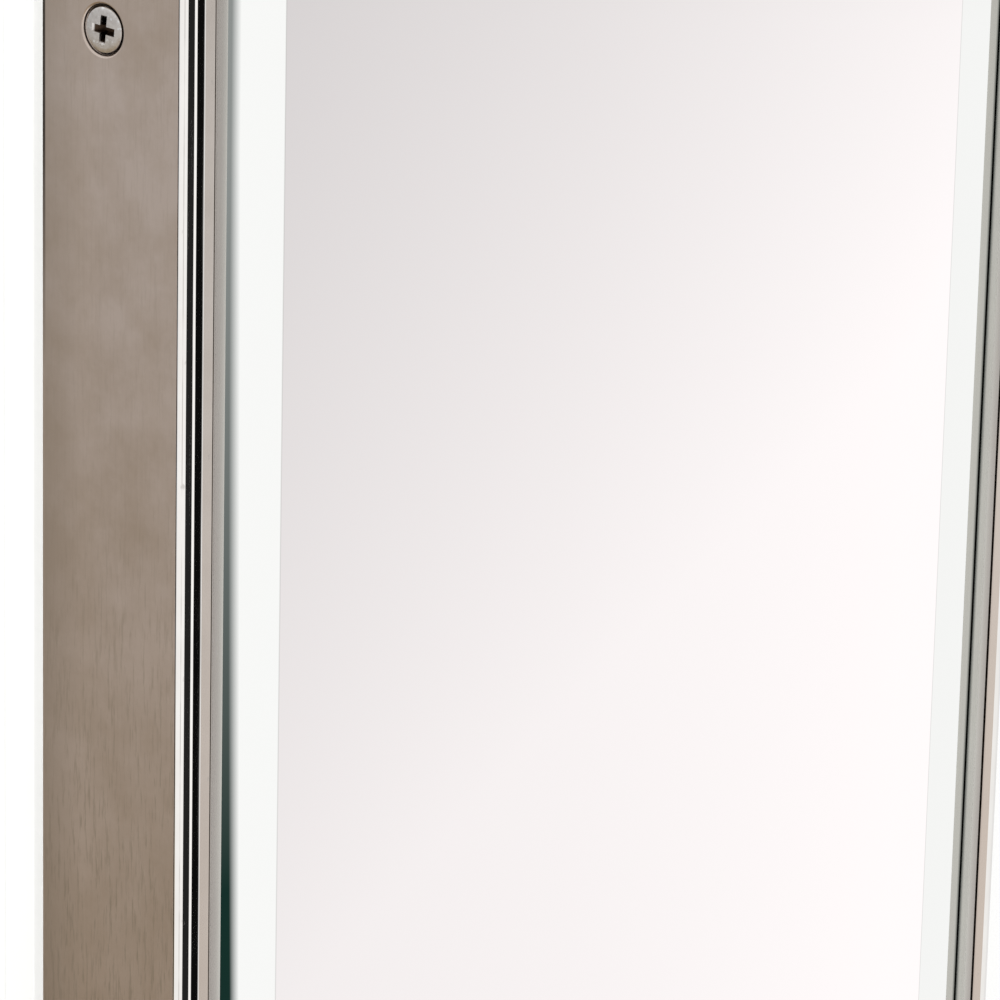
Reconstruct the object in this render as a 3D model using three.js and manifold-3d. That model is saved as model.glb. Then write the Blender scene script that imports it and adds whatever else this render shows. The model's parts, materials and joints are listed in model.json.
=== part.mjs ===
// Recessed medicine cabinet: a steel box set in the wall, and a deep metal-framed door with a bevelled
// mirror, hung on a continuous hinge down its right side. Millimetres. +X right, +Y into the wall, +Z up.
// The origin is on the wall surface, y = 0, in the middle of the wall opening.
import * as THREE from "three";
import { mergeVertices } from "three/addons/utils/BufferGeometryUtils.js";
import Module from "manifold-3d";

const wasm = await Module();
wasm.setup();

// Gaps
const CLEAR = 0.3; // between pieces that rest on, or lie beside, each other
const RUNNING = 0.2; // round the hinge pin

// Door frame. Widths run inwards from the door's outer side, depths forwards from the wall.
const DOOR_W = 381;
const DOOR_H = 660;
const DOOR_D = 48; // wall surface to the front of the frame
const FRAME_T = 1.8;
const FRAME_REAR = 1.5; // gap between the frame's rear edge and the wall
const FRAME_WEB = 13; // front web of the frame, under the trim
const TRIM_D = 2.6; // depth of the polished trim and of its rounded edge
const TRIM_ROUND = 7; // width of the rounded edge
const TRIM_W = 11;
const RETAINER_SET = 0.4; // face of the retainer behind the face of the trim
const RETAINER_W = 4.45;
const RETAINER_EDGE = 0.5; // chamfer along the retainer's inner edge
const RETAINER_LIP = 2.7; // depth of the lip that bears on the glass

// Mirror
const GLASS_T = 5;
const GLASS_SET = 1.4; // face of the glass behind the face of the trim
const GLASS_TUCK = 2.3; // how far the glass runs under the retainer
const BEVEL_W = 25.4;
const BEVEL_DROP = 2.2;
const BACKING_T = 2;

// Door inner: the pan that closes the back, the bars inside the two sides, and the channels behind the mirror
const BAR_T = 3;
const BAR_D = 22;
const PAN_REAR = 15.2; // wall surface to the rear face of the pan
const PAN_T = 1;
const PAN_FLANGE = 14;
const CHANNEL_T = 1;
const CHANNEL_W = 30;
const CHANNEL_FOOT = 10;
const CHANNEL_X = 90;
const CHANNEL_END = 12; // short of the pan's flange at each end
const CORNER_T = 2;
const CORNER_ARM = 45;

// Countersunk screws through the door's sides
const SIDE_SCREW_HEAD_R = 5.8;
const SIDE_SCREW_R = 2.9;
const SIDE_SCREW_L = 13;
const SIDE_SCREW_D = 21; // forwards from the wall
const SIDE_SCREW_END = 160; // from the door's top and bottom
const SIDE_SCREW_TURNS = [5, 38, 62, 21]; // how far each cross is turned, degrees
const CROSS_L = 6.6;
const CROSS_W = 1.5;
const CROSS_D = 2.2;

// Case
const CASE_D = 88; // wall surface to the rear of the side panels
const CASE_T = 1;
const FLANGE_W = 14;
const FLANGE_T = 2.4; // hemmed double
const FLANGE_INSET = 5; // flange edge inside the door's outer side
const SLOT_PITCH = 50;
const SLOT_ROWS = 9;
const SLOT_H = 10;
const SLOT_W = 3;
const SLOT_Y = [18, 70];

// Shelves
const SHELF_ROWS = [1, 4, 7]; // slot rows counted from the lowest
const SHELF_T = 5;
const SHELF_D = 76;
const SHELF_BACK_GAP = 3;
const SHELF_NAMES = ["lower", "middle", "upper"];
const REST_T = 1.2;
const REST_LEG = 13;
const REST_LEDGE = 9;
const REST_LIP = 3;
const REST_D = 64;
const REST_HOOK = 1.8; // how far the hooks pass outside the side panel

// Hinge
const KNUCKLE_R = 2.5;
const PIN_R = 1.25;
const LEAF_T = 0.9;
const CASE_LEAF_W = 12.5;
const HINGE_END = 30; // hinge short of the door's top and bottom
const KNUCKLES = 11;
const HINGE_CUT = 0.6; // rear edge of the door's right side, forwards of the pin
const HINGE_NOTCH = 9; // length cut from the top and bottom of the frame at the hinge end
const HINGE_SCREW_END = 55; // first screw from the end of the hinge
const HINGE_SCREWS = 4;

// Catches
const CATCH_END = 79; // middle of the catch from the inside of the case's top and bottom
const CATCH_L = 44;
const CATCH_W = 10.4;
const CATCH_REACH = 8; // how far the catch runs back into the case
const MAGNET_L = 32;
const MAGNET_W = 5;
const MAGNET_D = 9;
const MAGNET_PROUD = 0.6;
const STRIKE_T = 1.2;
const STRIKE_L = 40;
const STRIKE_W = 16;

// Screws into the studs beside the case, and the small screws in the hinge
const WALL_SCREW_PAST = 5; // beyond the last row of slots
const WALL_SCREW_Y = 44;
const WALL_SCREW_R = 2.2;
const WALL_SCREW_OUT = 15;
const WALL_HEAD_R = 4.2;
const WALL_HEAD_T = 2.4;
const HINGE_SCREW_R = 1.9;
const HINGE_HEAD_R = 3.4;
const HINGE_HEAD_T = 1.6;

// Worked out from the sizes above
const FACE_Y = -DOOR_D;
const TRIM_REAR_Y = FACE_Y + TRIM_D;
const WEB_FRONT_Y = TRIM_REAR_Y + CLEAR;
const WEB_REAR_Y = WEB_FRONT_Y + FRAME_T;
const RETAINER_U = TRIM_W + CLEAR; // outer edge of the retainer
const SIGHT_U = RETAINER_U + RETAINER_W; // edge of the visible mirror
const GLASS_U = SIGHT_U - GLASS_TUCK;
const GLASS_FRONT_Y = FACE_Y + GLASS_SET;
const GLASS_EDGE_Y = GLASS_FRONT_Y + BEVEL_DROP;
const GLASS_REAR_Y = GLASS_FRONT_Y + GLASS_T;
const BACKING_Y = GLASS_REAR_Y + CLEAR;
const CHANNEL_FRONT_Y = BACKING_Y + BACKING_T + CLEAR;
const BAR_U = FRAME_T + CLEAR;
const BAR_REAR_Y = -PAN_REAR - CLEAR;
const PAN_SIDE_U = BAR_U + BAR_T + CLEAR;
const PAN_END_U = FRAME_T + CLEAR;
const PAN_FRONT_Y = -PAN_REAR - PAN_T;
const FLANGE_OUT_X = DOOR_W / 2 - FLANGE_INSET;
const FLANGE_OUT_Z = DOOR_H / 2 - FLANGE_INSET;
const CASE_HALF_W = FLANGE_OUT_X - FLANGE_W;
const CASE_HALF_H = FLANGE_OUT_Z - FLANGE_W;
const CASE_IN_X = CASE_HALF_W - CASE_T;
const PIN_X = DOOR_W / 2 - FRAME_T - CLEAR - KNUCKLE_R;
const PIN_Y = -FLANGE_T - CLEAR - KNUCKLE_R;
const BORE_R = PIN_R + RUNNING;
const DOOR_LEAF_W = PIN_Y - BAR_REAR_Y - CLEAR; // the door's leaf stops short of the side bar
const HINGE_L = DOOR_H - 2 * HINGE_END;
const HINGE_SCREW_STEP = (HINGE_L - 2 * HINGE_SCREW_END) / (HINGE_SCREWS - 1);
const HINGE_SCREWS_Z = [...Array(HINGE_SCREWS).keys()].map(
  (i) => HINGE_SCREW_END - HINGE_L / 2 + i * HINGE_SCREW_STEP,
);
const SIDE_SCREW_Z = DOOR_H / 2 - SIDE_SCREW_END;
const CATCH_Z = CASE_HALF_H - CATCH_END;
const slotZ = (row) => (row - (SLOT_ROWS - 1) / 2) * SLOT_PITCH;
const WALL_SCREW_Z = slotZ(SLOT_ROWS - 1) + WALL_SCREW_PAST;
const RIM = KNUCKLE_R + CLEAR; // radius kept clear round the other leaf's knuckles

const finish = (color, roughness, metalness) =>
  new THREE.MeshStandardMaterial({ color, roughness, metalness });
const SATIN_NICKEL = finish(0xa3958b, 0.38, 1);
const POLISHED_NICKEL = finish(0xcfc8c2, 0.06, 1);
const MIRROR = finish(0xeeeff0, 0.02, 1);
const BACKING_BOARD = finish(0x6f7478, 0.8, 0);
const WHITE_STEEL = finish(0xf0f0ee, 0.45, 0);
const ZINC = finish(0xb9bcbe, 0.35, 1);
const SHELF_GLASS = finish(0xcfe3dc, 0.05, 0);
const WHITE_PLASTIC = finish(0xe9e9e6, 0.5, 0);
const MAGNET = finish(0x4a4b4d, 0.55, 0.4);

// Geometry to solid and back, for the cuts and joins
function solidOf(geometry) {
  const g = geometry.clone();
  g.deleteAttribute("normal");
  g.deleteAttribute("uv");
  const merged = mergeVertices(g, 1e-4);
  const mesh = new wasm.Mesh({
    numProp: 3,
    vertProperties: merged.attributes.position.array,
    triVerts: new Uint32Array(merged.index.array),
  });
  return new wasm.Manifold(mesh);
}

function geometryOf(solid) {
  const mesh = solid.getMesh();
  const g = new THREE.BufferGeometry();
  g.setAttribute("position", new THREE.BufferAttribute(mesh.vertProperties, 3));
  g.setIndex(new THREE.BufferAttribute(mesh.triVerts, 1));
  g.computeVertexNormals();
  return g;
}

const cut = (geometry, ...tools) =>
  geometryOf(tools.reduce((s, tool) => s.subtract(solidOf(tool)), solidOf(geometry)));
const join = (geometry, ...more) =>
  geometryOf(more.reduce((s, other) => s.add(solidOf(other)), solidOf(geometry)));
const common = (a, b) => geometryOf(solidOf(a).intersect(solidOf(b)));

// A block between two corners
function block([x0, y0, z0], [x1, y1, z1]) {
  const g = new THREE.BoxGeometry(x1 - x0, y1 - y0, z1 - z0);
  return g.translate((x0 + x1) / 2, (y0 + y1) / 2, (z0 + z1) / 2);
}

// A round bar along X, from x0 to x1
function barX(radius, x0, x1, y = 0, z = 0, sides = 20) {
  const g = new THREE.CylinderGeometry(radius, radius, x1 - x0, sides);
  return g.rotateZ(Math.PI / 2).translate((x0 + x1) / 2, y, z);
}

// A round bar along Y, from y0 to y1
function barY(radius, y0, y1, x, z, sides = 20) {
  const g = new THREE.CylinderGeometry(radius, radius, y1 - y0, sides);
  return g.translate(x, (y0 + y1) / 2, z);
}

// A round bar along Z, from z0 to z1
function barZ(radius, z0, z1, sides = 20) {
  const g = new THREE.CylinderGeometry(radius, radius, z1 - z0, sides);
  return g.rotateX(Math.PI / 2).translate(0, 0, (z0 + z1) / 2);
}

// A closed outline in X and Y, extruded along Z about the middle
function extrude(shape, length, curveSegments = 10) {
  const g = new THREE.ExtrudeGeometry(shape, {
    depth: length,
    bevelEnabled: false,
    curveSegments,
  });
  return g.translate(0, 0, -length / 2);
}

const outline = (points) => new THREE.Shape(points.map(([x, y]) => new THREE.Vector2(x, y)));

function named(name, geometry, material) {
  const mesh = new THREE.Mesh(geometry, material);
  mesh.name = name;
  return mesh;
}

// The four members of a rectangular frame are one outline each, drawn for the left side: x runs inwards
// from the outer edge. Each is extruded, mitred at both ends and turned about Y into its place.
const SIDES = ["left", "top", "right", "bottom"];

function member(shape, side, width, height) {
  const upright = side % 2 === 0;
  const half = (upright ? width : height) / 2;
  const length = upright ? height : width;
  const g = extrude(shape, length);
  const at = g.attributes.position;
  for (let i = 0; i < at.count; i++) {
    const inwards = at.getX(i);
    const end = length / 2 - inwards - (CLEAR / 2) * Math.SQRT2;
    at.setZ(i, Math.sign(at.getZ(i)) * end);
    at.setX(i, inwards - half);
  }
  return g;
}

function frameOf(prefix, material, shapeFor, width, height, work = (g) => g) {
  const group = new THREE.Group();
  SIDES.forEach((word, side) => {
    const g = work(member(shapeFor(side), side, width, height), side);
    const mesh = named(prefix + "_" + word, g, material);
    mesh.rotation.y = (side * Math.PI) / 2;
    group.add(mesh);
  });
  return group;
}

// Door frame: deep sides with a narrow web at the front. The right side stops short of the hinge pin.
function doorFrameShape(side) {
  const rear = side === 2 ? PIN_Y - HINGE_CUT : -FRAME_REAR;
  return outline([
    [0, rear],
    [0, WEB_FRONT_Y],
    [FRAME_WEB, WEB_FRONT_Y],
    [FRAME_WEB, WEB_REAR_Y],
    [FRAME_T, WEB_REAR_Y],
    [FRAME_T, rear],
  ]);
}

// Countersunk seat for a side screw, at the left side of the door
function screwSeat(z) {
  const head = SIDE_SCREW_HEAD_R + CLEAR;
  const hole = SIDE_SCREW_R + CLEAR;
  const profile = [
    [0, 1],
    [head + 1, 1],
    [hole, 1 + hole - head - 1],
    [hole, -SIDE_SCREW_L - CLEAR],
    [0, -SIDE_SCREW_L - CLEAR],
  ];
  return screwTurned(profile, z);
}

// A profile of [radius, height] turned about the screw's axis, with its height pointing out of the door
function screwTurned(profile, z, sides = 24) {
  const points = profile.map(([r, h]) => new THREE.Vector2(r, h)).reverse();
  const g = new THREE.LatheGeometry(points, sides);
  return g.rotateZ(Math.PI / 2).translate(-DOOR_W / 2, -SIDE_SCREW_D, z);
}

function doorFrameWork(g, side) {
  if (side % 2 === 0) return cut(g, screwSeat(SIDE_SCREW_Z), screwSeat(-SIDE_SCREW_Z));
  const end = side === 1 ? DOOR_W / 2 : -DOOR_W / 2;
  const from = Math.min(end - Math.sign(end) * HINGE_NOTCH, end + Math.sign(end));
  const to = Math.max(end - Math.sign(end) * HINGE_NOTCH, end + Math.sign(end));
  const out = -DOOR_H / 2 - 1;
  return cut(g, block([out, PIN_Y - HINGE_CUT, from], [out + FRAME_T + 2, 1, to]));
}

function trimShape() {
  const shape = new THREE.Shape();
  shape.moveTo(0, TRIM_REAR_Y);
  shape.absellipse(TRIM_ROUND, TRIM_REAR_Y, TRIM_ROUND, TRIM_D, Math.PI, 1.5 * Math.PI, false);
  shape.lineTo(TRIM_W, FACE_Y);
  shape.lineTo(TRIM_W, TRIM_REAR_Y);
  return shape;
}

// The retainer bears on the glass with its inner lip and on the frame's web with its outer part
function retainerShape() {
  const face = FACE_Y + RETAINER_SET;
  const lip = face + RETAINER_LIP;
  return outline([
    [RETAINER_U, TRIM_REAR_Y],
    [RETAINER_U, face],
    [SIGHT_U - RETAINER_EDGE, face],
    [SIGHT_U, face + RETAINER_EDGE],
    [SIGHT_U, lip],
    [FRAME_WEB + CLEAR, lip],
    [FRAME_WEB + CLEAR, TRIM_REAR_Y],
  ]);
}

// Bevelled plate: the section across the width and the section down the height have the same bevels,
// and what both hold is the glass.
function mirrorGlass() {
  const section = (half) =>
    outline([
      [-half, GLASS_REAR_Y],
      [-half, GLASS_EDGE_Y],
      [-half + BEVEL_W, GLASS_FRONT_Y],
      [half - BEVEL_W, GLASS_FRONT_Y],
      [half, GLASS_EDGE_Y],
      [half, GLASS_REAR_Y],
    ]);
  const across = extrude(section(DOOR_W / 2 - GLASS_U), DOOR_H);
  const down = extrude(section(DOOR_H / 2 - GLASS_U), DOOR_W).rotateY(Math.PI / 2);
  return common(across, down);
}

function mirrorBacking() {
  const x = DOOR_W / 2 - GLASS_U - CLEAR;
  const z = DOOR_H / 2 - GLASS_U - CLEAR;
  return block([-x, BACKING_Y, -z], [x, BACKING_Y + BACKING_T, z]);
}

// Shallow tray, open towards the mirror, with holes for the side screws
function doorPan() {
  const x = DOOR_W / 2 - PAN_SIDE_U;
  const z = DOOR_H / 2 - PAN_END_U;
  const outer = block([-x, PAN_FRONT_Y - PAN_FLANGE, -z], [x, -PAN_REAR, z]);
  const hollow = block(
    [-x + PAN_T, PAN_FRONT_Y - PAN_FLANGE - 1, -z + PAN_T],
    [x - PAN_T, PAN_FRONT_Y, z - PAN_T],
  );
  const holes = [SIDE_SCREW_Z, -SIDE_SCREW_Z].map((at) =>
    barX(SIDE_SCREW_R + CLEAR, -x - 1, x + 1, -SIDE_SCREW_D, at),
  );
  return cut(outer, hollow, ...holes);
}

// Channel behind the mirror: a web against the backing and two legs with feet on the pan
function mirrorChannel() {
  const half = CHANNEL_W / 2;
  const foot = half + CHANNEL_FOOT;
  const rear = PAN_FRONT_Y - CLEAR;
  const shape = outline([
    [-foot, rear],
    [-foot, rear - CHANNEL_T],
    [-half, rear - CHANNEL_T],
    [-half, CHANNEL_FRONT_Y],
    [half, CHANNEL_FRONT_Y],
    [half, rear - CHANNEL_T],
    [foot, rear - CHANNEL_T],
    [foot, rear],
    [half - CHANNEL_T, rear],
    [half - CHANNEL_T, CHANNEL_FRONT_Y + CHANNEL_T],
    [-half + CHANNEL_T, CHANNEL_FRONT_Y + CHANNEL_T],
    [-half + CHANNEL_T, rear],
  ]);
  return extrude(shape, DOOR_H - 2 * (PAN_END_U + PAN_T + CHANNEL_END));
}

// Flat bar inside each side of the door, which the side screws pull the frame onto
function sideBar() {
  const x = -DOOR_W / 2 + BAR_U;
  const z = DOOR_H / 2 - FRAME_T - CLEAR;
  const bar = block([x, BAR_REAR_Y - BAR_D, -z], [x + BAR_T, BAR_REAR_Y, z]);
  return cut(bar, screwSeat(SIDE_SCREW_Z), screwSeat(-SIDE_SCREW_Z));
}

// Flat corner plate behind the web, shaped for the top left corner
function cornerPlate() {
  const out = FRAME_T + CLEAR;
  const inner = FRAME_WEB - CLEAR;
  const x = (u) => u - DOOR_W / 2;
  const y = (u) => DOOR_H / 2 - u;
  const shape = outline([
    [x(out), y(out)],
    [x(CORNER_ARM), y(out)],
    [x(CORNER_ARM), y(inner)],
    [x(inner), y(inner)],
    [x(inner), y(CORNER_ARM)],
    [x(out), y(CORNER_ARM)],
  ]);
  const g = new THREE.ExtrudeGeometry(shape, { depth: CORNER_T, bevelEnabled: false });
  return g.rotateX(Math.PI / 2).translate(0, WEB_REAR_Y + CLEAR + CORNER_T, 0);
}

// Countersunk screw with a cross recess
function sideScrew(z, turn) {
  const neck = SIDE_SCREW_R - SIDE_SCREW_HEAD_R;
  const profile = [
    [0, 0],
    [SIDE_SCREW_HEAD_R, 0],
    [SIDE_SCREW_R, neck],
    [SIDE_SCREW_R, 1 - SIDE_SCREW_L],
    [SIDE_SCREW_R - 1, -SIDE_SCREW_L],
    [0, -SIDE_SCREW_L],
  ];
  const arm = (degrees) => {
    const g = block([-1, -CROSS_L / 2, -CROSS_W / 2], [CROSS_D, CROSS_L / 2, CROSS_W / 2]);
    g.rotateX(THREE.MathUtils.degToRad(degrees));
    return g.translate(-DOOR_W / 2, -SIDE_SCREW_D, z);
  };
  return cut(screwTurned(profile, z), arm(turn), arm(turn + 90));
}

// Case panel: a hemmed flange on the wall and a web that runs back into it. The two sides have slots
// for the shelf rests and holes for the stud screws, and the right flange holes for the hinge screws.
function casePanelShape() {
  return outline([
    [0, -FLANGE_T],
    [FLANGE_W + CASE_T, -FLANGE_T],
    [FLANGE_W + CASE_T, CASE_D],
    [FLANGE_W, CASE_D],
    [FLANGE_W, 0],
    [0, 0],
  ]);
}

function casePanelWork(g, side) {
  if (side % 2 === 1) return g;
  const tools = [];
  for (let row = 0; row < SLOT_ROWS; row++) {
    for (const y of SLOT_Y) {
      const z = slotZ(row);
      const low = [-CASE_HALF_W - 1, y - SLOT_W / 2, z - SLOT_H / 2];
      tools.push(block(low, [-CASE_IN_X + 1, y + SLOT_W / 2, z + SLOT_H / 2]));
    }
  }
  for (const z of [-WALL_SCREW_Z, WALL_SCREW_Z]) {
    tools.push(barX(WALL_SCREW_R + CLEAR, -CASE_HALF_W - 1, -CASE_IN_X + 1, WALL_SCREW_Y, z));
  }
  if (side === 2) {
    for (const z of HINGE_SCREWS_Z) {
      tools.push(barY(HINGE_SCREW_R + CLEAR, -FLANGE_T - 1, 1, -hingeScrewX(), -z));
    }
  }
  return cut(g, ...tools);
}

function caseBack() {
  const y = CASE_D + CLEAR;
  return block([-CASE_HALF_W, y, -CASE_HALF_H], [CASE_HALF_W, y + CASE_T, CASE_HALF_H]);
}

const shelfZ = (index) => slotZ(SHELF_ROWS[index]) + SLOT_H / 2 + SHELF_T / 2;
const shelfHalfW = () => CASE_IN_X - 2 * CLEAR - REST_T;

// Glass shelf with its front corners rounded
function shelf(z) {
  const half = shelfHalfW();
  const rear = CASE_D - SHELF_BACK_GAP;
  const front = rear - SHELF_D;
  const round = SHELF_T;
  const shape = new THREE.Shape();
  shape.moveTo(-half, rear);
  shape.lineTo(-half, front + round);
  shape.absarc(-half + round, front + round, round, Math.PI, 1.5 * Math.PI, false);
  shape.lineTo(half - round, front);
  shape.absarc(half - round, front + round, round, 1.5 * Math.PI, 2 * Math.PI, false);
  shape.lineTo(half, rear);
  return extrude(shape, SHELF_T, 6).translate(0, 0, z);
}

// Shelf rest for the left side: a leg on the panel, a ledge under the glass with a low lip at its end,
// and two hooks through the panel's slots
function shelfRest(index) {
  const x = -CASE_IN_X + CLEAR;
  const top = shelfZ(index) - SHELF_T / 2 - CLEAR;
  const z = (down) => top - down;
  const shape = outline([
    [x, z(REST_LEG)],
    [x, z(0)],
    [x + REST_LEDGE, z(0)],
    [x + REST_LEDGE, z(REST_LIP)],
    [x + REST_LEDGE - REST_T, z(REST_LIP)],
    [x + REST_LEDGE - REST_T, z(REST_T)],
    [x + REST_T, z(REST_T)],
    [x + REST_T, z(REST_LEG)],
  ]);
  const middle = (SLOT_Y[0] + SLOT_Y[1]) / 2;
  const rest = extrude(shape, REST_D).rotateX(Math.PI / 2).translate(0, middle, 0);
  const slot = slotZ(SHELF_ROWS[index]);
  const hooks = SLOT_Y.map((y) => {
    const low = [-CASE_HALF_W - REST_HOOK, y - SLOT_W / 2 + CLEAR, slot - SLOT_H / 2 + CLEAR];
    return block(low, [x + REST_T / 2, y + SLOT_W / 2 - CLEAR, slot + SLOT_H / 2 - 2 * CLEAR]);
  });
  return join(rest, ...hooks);
}

// Hinge leaf, drawn about the pin. The plate lies at +Y of the pin and runs towards -X; its own
// knuckles are the even or the odd ones, and it is cut back round the others.
function hingeLeaf(width, first) {
  const pitch = HINGE_L / KNUCKLES;
  let leaf = solidOf(
    block([-width, KNUCKLE_R - LEAF_T, -HINGE_L / 2], [0, KNUCKLE_R, HINGE_L / 2]),
  );
  for (let i = 0; i < KNUCKLES; i++) {
    const low = -HINGE_L / 2 + i * pitch;
    const own = i % 2 === first;
    if (own) leaf = leaf.add(solidOf(barZ(KNUCKLE_R, low + CLEAR / 2, low + pitch - CLEAR / 2)));
    else {
      const room = block([-RIM, -RIM, low - CLEAR / 2], [RIM, RIM, low + pitch + CLEAR / 2]);
      leaf = leaf.subtract(solidOf(room));
    }
  }
  return geometryOf(leaf.subtract(solidOf(barZ(BORE_R, -HINGE_L, HINGE_L))));
}

const hingeScrewX = () => PIN_X - (RIM + CASE_LEAF_W) / 2;

function caseLeaf() {
  const holes = HINGE_SCREWS_Z.map((z) =>
    barY(HINGE_SCREW_R + CLEAR, 0, RIM, hingeScrewX() - PIN_X, z),
  );
  return cut(hingeLeaf(CASE_LEAF_W, 0), ...holes);
}

// The door's leaf is the same drawing turned so that its plate lies against the inside of the frame
function doorLeaf() {
  return hingeLeaf(DOOR_LEAF_W, 1).scale(-1, 1, 1).rotateZ(-Math.PI / 2);
}

function hingePin() {
  return barZ(PIN_R, -HINGE_L / 2 - 1, HINGE_L / 2 + 1);
}

// Low round-headed screw along Y with its head at the front
function hingeScrew(z) {
  const seat = -FLANGE_T - 2 * CLEAR - LEAF_T;
  const x = hingeScrewX();
  const shank = barY(HINGE_SCREW_R, seat - HINGE_HEAD_T / 2, -CLEAR, x, z);
  const head = new THREE.CylinderGeometry(HINGE_HEAD_R, HINGE_HEAD_R - 1, HINGE_HEAD_T, 20);
  return join(head.translate(x, seat - HINGE_HEAD_T / 2, z), shank);
}

// Stud screw through the left side, head inside the case
function wallScrew(z) {
  const seat = -CASE_IN_X + CLEAR;
  const shank = barX(WALL_SCREW_R, -CASE_HALF_W - WALL_SCREW_OUT, seat + 1, WALL_SCREW_Y, z);
  const head = new THREE.CylinderGeometry(WALL_HEAD_R, WALL_HEAD_R - 1, WALL_HEAD_T, 20);
  head.rotateZ(Math.PI / 2).translate(seat + WALL_HEAD_T / 2, WALL_SCREW_Y, z);
  return join(head, shank);
}

// Magnetic catch inside the left side: a body with a magnet in a pocket in its front
const STRIKE_Y = -PAN_REAR + CLEAR; // front face of the strike
const MAGNET_Y = STRIKE_Y + STRIKE_T + CLEAR; // front face of the magnet
const CATCH_X = -CASE_IN_X + CLEAR;

function catchBody(z) {
  const front = MAGNET_Y + MAGNET_PROUD;
  const body = block(
    [CATCH_X, front, z - CATCH_L / 2],
    [CATCH_X + CATCH_W, CATCH_REACH, z + CATCH_L / 2],
  );
  const x = CATCH_X + CATCH_W / 2;
  const w = MAGNET_W / 2 + CLEAR;
  const l = MAGNET_L / 2 + CLEAR;
  const rear = MAGNET_Y + MAGNET_D + CLEAR;
  return cut(body, block([x - w, front - 1, z - l], [x + w, rear, z + l]));
}

function magnet(z) {
  const x = CATCH_X + CATCH_W / 2;
  const w = MAGNET_W / 2;
  const l = MAGNET_L / 2;
  return block([x - w, MAGNET_Y, z - l], [x + w, MAGNET_Y + MAGNET_D, z + l]);
}

function strike(z) {
  const x = CATCH_X + CATCH_W / 2;
  const w = STRIKE_W / 2;
  const l = STRIKE_L / 2;
  return block([x - w, STRIKE_Y, z - l], [x + w, STRIKE_Y + STRIKE_T, z + l]);
}

// A copy for the right side is the left one turned half round about Z, or about Y where it is the same
// at both ends
function turned(mesh, axis) {
  mesh.rotation[axis] = Math.PI;
  return mesh;
}

function makeCase() {
  const group = new THREE.Group();
  const width = 2 * FLANGE_OUT_X;
  const height = 2 * FLANGE_OUT_Z;
  group.add(frameOf("case", WHITE_STEEL, casePanelShape, width, height, casePanelWork));
  group.add(named("case_back", caseBack(), WHITE_STEEL));
  SHELF_NAMES.forEach((word, i) => {
    group.add(named("shelf_" + word, shelf(shelfZ(i)), SHELF_GLASS));
    group.add(named("shelf_rest_" + word + "_left", shelfRest(i), ZINC));
    const right = shelfRest(i).scale(-1, 1, 1);
    flip(right);
    group.add(named("shelf_rest_" + word + "_right", right, ZINC));
  });
  for (const [word, z] of [["upper", CATCH_Z], ["lower", -CATCH_Z]]) {
    group.add(named("catch_" + word, catchBody(z), WHITE_PLASTIC));
    group.add(named("catch_magnet_" + word, magnet(z), MAGNET));
  }
  for (const [word, z] of [["upper", WALL_SCREW_Z], ["lower", -WALL_SCREW_Z]]) {
    group.add(named("stud_screw_left_" + word, wallScrew(z), ZINC));
    const right = wallScrew(z).scale(-1, 1, 1);
    flip(right);
    group.add(named("stud_screw_right_" + word, right, ZINC));
  }
  return group;
}

// Turns every face round, after a mirroring scale
function flip(geometry) {
  if (!geometry.index) geometry.setIndex([...Array(geometry.attributes.position.count).keys()]);
  const index = geometry.index;
  for (let i = 0; i < index.count; i += 3) {
    const b = index.getX(i + 1);
    index.setX(i + 1, index.getX(i + 2));
    index.setX(i + 2, b);
  }
  return geometry;
}

function makeHinge() {
  const group = new THREE.Group();
  const onPin = new THREE.Group();
  onPin.position.set(PIN_X, PIN_Y, 0);
  onPin.add(named("hinge_leaf_case", caseLeaf(), ZINC));
  onPin.add(named("hinge_leaf_door", flip(doorLeaf()), ZINC));
  onPin.add(named("hinge_pin", hingePin(), ZINC));
  group.add(onPin);
  HINGE_SCREWS_Z.forEach((z, i) => {
    group.add(named("hinge_screw_" + (i + 1), hingeScrew(z), ZINC));
  });
  return group;
}

function makeDoor() {
  const group = new THREE.Group();
  group.add(frameOf("door_frame", SATIN_NICKEL, doorFrameShape, DOOR_W, DOOR_H, doorFrameWork));
  group.add(frameOf("trim", POLISHED_NICKEL, trimShape, DOOR_W, DOOR_H));
  group.add(frameOf("mirror_retainer", SATIN_NICKEL, retainerShape, DOOR_W, DOOR_H));
  group.add(named("mirror_glass", mirrorGlass(), MIRROR));
  group.add(named("mirror_backing", mirrorBacking(), BACKING_BOARD));
  group.add(named("door_pan", doorPan(), WHITE_STEEL));
  group.add(named("side_bar_left", sideBar(), ZINC));
  group.add(turned(named("side_bar_right", sideBar(), ZINC), "y"));
  for (const [word, x] of [["left", -CHANNEL_X], ["right", CHANNEL_X]]) {
    const channel = named("mirror_channel_" + word, mirrorChannel(), ZINC);
    channel.position.x = x;
    group.add(channel);
  }
  ["left_upper", "left_lower", "right_upper", "right_lower"].forEach((word, i) => {
    const right = i > 1;
    const z = (i % 2 === 0) !== right ? SIDE_SCREW_Z : -SIDE_SCREW_Z;
    const screw = named("side_screw_" + word, sideScrew(z, SIDE_SCREW_TURNS[i]), POLISHED_NICKEL);
    group.add(right ? turned(screw, "y") : screw);
  });
  const corners = [
    ["top_left", 1, 1],
    ["top_right", -1, 1],
    ["bottom_left", 1, -1],
    ["bottom_right", -1, -1],
  ];
  for (const [word, sx, sz] of corners) {
    const g = cornerPlate().scale(sx, 1, sz);
    group.add(named("corner_plate_" + word, sx * sz < 0 ? flip(g) : g, ZINC));
  }
  for (const [word, z] of [["upper", CATCH_Z], ["lower", -CATCH_Z]]) {
    group.add(named("strike_" + word, strike(z), ZINC));
  }
  return group;
}

const cabinet = new THREE.Group();
cabinet.add(makeCase(), makeHinge(), makeDoor());

export default cabinet;
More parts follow.
